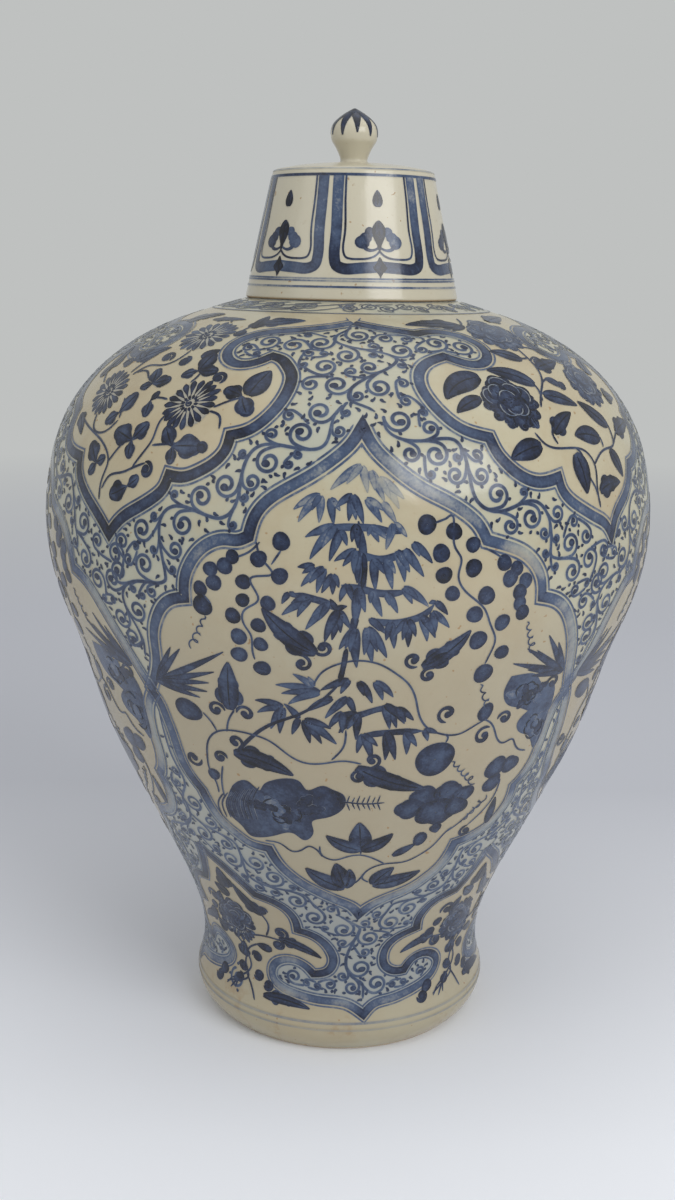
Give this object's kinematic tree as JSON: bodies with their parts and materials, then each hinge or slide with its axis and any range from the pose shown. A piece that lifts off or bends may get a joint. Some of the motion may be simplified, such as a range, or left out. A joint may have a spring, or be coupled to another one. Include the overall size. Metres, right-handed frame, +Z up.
{
  "type": "lidded meiping vase",
  "caption": "Broad-shouldered porcelain jar on a waisted foot, with a small mouth under a conical lift-off lid with a bud knob; painted in underglaze blue.",
  "frame": {"origin": "middle of the foot ring, on the surface that the jar stands on", "axes": "+Z up along the axis that the jar was thrown on; -Y faces the viewer of the picture, where the middle of one main panel is; +X to the viewer's right"},
  "size_m": [0.302, 0.302, 0.46],
  "materials": {
    "glazed_porcelain": "glossy warm off-white glaze with fine bubbles and iron specks",
    "cobalt_painting": "underglaze cobalt blue under the same glossy glaze",
    "bare_porcelain": "unglazed, dry, slightly toasted body"
  },
  "bodies": {
    "jar": {"foot_section": "glazed_porcelain", "flank_section": "glazed_porcelain", "belly_section": "glazed_porcelain", "shoulder_section": "glazed_porcelain", "neck": "glazed_porcelain"},
    "lid": {"lid_cap": "glazed_porcelain", "lid_sleeve": "bare_porcelain", "lid_knob": "glazed_porcelain"}
  },
  "joints": [
    {"name": "lid_lift", "type": "slide", "parent": "jar", "child": "lid", "axis": [0, 0, 1], "range_m": [0, 0.06]}
  ]
}
